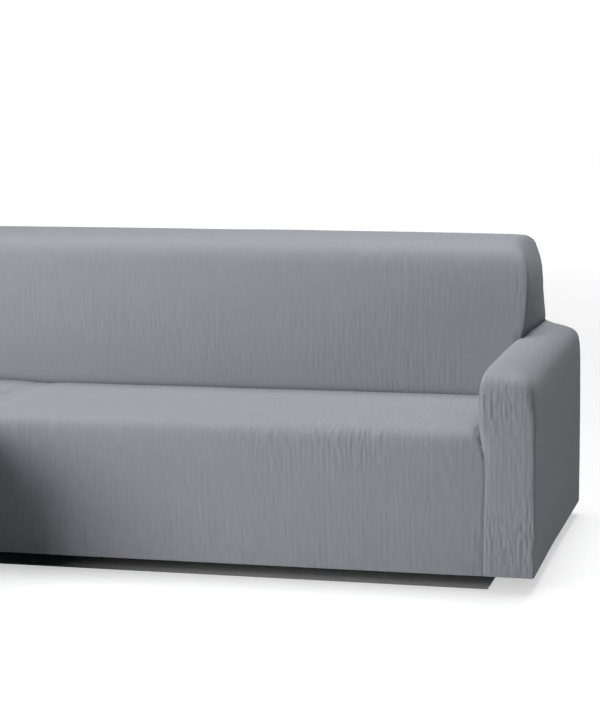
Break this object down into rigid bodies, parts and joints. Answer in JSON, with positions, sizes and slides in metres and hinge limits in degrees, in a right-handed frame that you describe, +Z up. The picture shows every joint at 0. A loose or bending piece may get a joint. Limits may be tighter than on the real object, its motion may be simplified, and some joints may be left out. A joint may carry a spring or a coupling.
{
  "type": "chaise sofa slipcover",
  "caption": "Fitted stretch cover in fine rib knit for a sofa with a chaise, hollow and open below, shaped with padded arms, seat and back.",
  "frame": {"origin": "centre of the bounding box at the hem", "axes": "+X to the end of the sofa without the chaise, +Y to the back, +Z up; the main front and the chaise face -Y"},
  "size_m": [2.636, 1.5976, 0.856],
  "materials": {
    "rib_knit": "matt grey-blue stretch knit with fine uneven vertical ribs"
  },
  "bodies": {
    "root": {"main_seat": "rib_knit", "chaise_seat": "rib_knit", "inside_back": "rib_knit", "outside_back": "rib_knit", "right_arm": "rib_knit", "right_arm_side": "rib_knit", "left_arm": "rib_knit", "left_arm_side": "rib_knit"}
  },
  "joints": []
}
